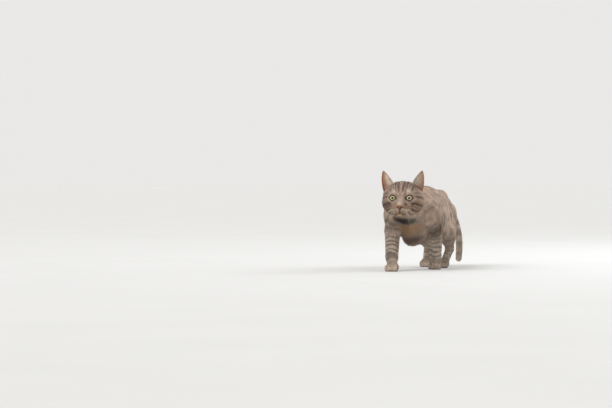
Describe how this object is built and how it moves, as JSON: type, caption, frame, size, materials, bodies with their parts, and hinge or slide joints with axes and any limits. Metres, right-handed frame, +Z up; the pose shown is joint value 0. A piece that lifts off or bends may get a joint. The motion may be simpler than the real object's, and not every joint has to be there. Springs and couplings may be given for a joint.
{
  "type": "cat",
  "caption": "Life-size still model of a domestic shorthair tabby cat walking forward, head level and tail hanging, standing on its four soles.",
  "frame": {"origin": "middle of the cat's outline on the floor, at the level of its soles", "axes": "+Z up, the cat walks towards -Y, its left side is +X"},
  "size_m": [0.1436, 0.5504, 0.2559],
  "materials": {
    "coat": "short grey-brown tabby fur with dark stripes, matt",
    "ear": "thin skin, short fur outside, nearly bare pink inside",
    "eye": "wet gloss, yellow-green iris with a black pupil",
    "nose_leather": "moist brick-pink skin, soft sheen"
  },
  "bodies": {
    "root": {"head": "coat", "neck": "coat", "trunk": "coat", "tail_root": "coat", "tail_middle": "coat", "tail_tip": "coat", "upper_arm_left": "coat", "upper_arm_right": "coat", "forearm_left": "coat", "forearm_right": "coat", "forepaw_left": "coat", "forepaw_right": "coat", "thigh_left": "coat", "thigh_right": "coat", "shank_left": "coat", "shank_right": "coat", "hind_foot_left": "coat", "hind_foot_right": "coat", "ear_left": "ear", "ear_right": "ear", "eye_left": "eye", "eye_right": "eye", "nose": "nose_leather"}
  },
  "joints": []
}
